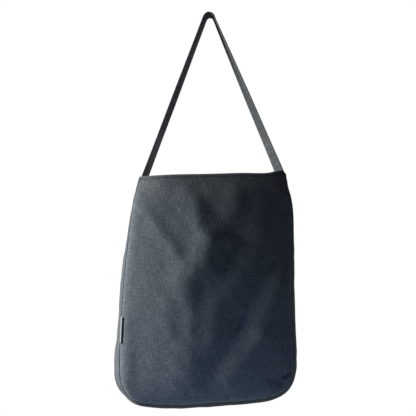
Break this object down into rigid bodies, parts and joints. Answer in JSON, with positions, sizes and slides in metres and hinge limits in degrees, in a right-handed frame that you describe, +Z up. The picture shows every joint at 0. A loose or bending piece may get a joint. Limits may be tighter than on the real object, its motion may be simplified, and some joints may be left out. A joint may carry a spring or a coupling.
{
  "type": "shopper bag",
  "caption": "Soft canvas shopper with a side and bottom gusset, rounded lower corners, a thin lining and a narrow webbing shoulder strap, shown hanging from its strap.",
  "frame": {"origin": "middle of the strap's underside at its highest point, where the bag hangs", "axes": "+Z up, +X to the right as seen from the front, the front panel towards -Y"},
  "size_m": [0.3297, 0.121, 0.7108],
  "materials": {
    "canvas": "dark slate linen canvas, matt",
    "lining": "light grey cotton with rough dark stripes",
    "webbing": "dark grey twill webbing, matt",
    "label": "woven label tape, light grey with a black band, blank"
  },
  "bodies": {
    "root": {"front_panel": "canvas", "back_panel": "canvas", "gusset": "canvas", "lining": "lining", "strap": "webbing", "label": "label"}
  },
  "joints": []
}
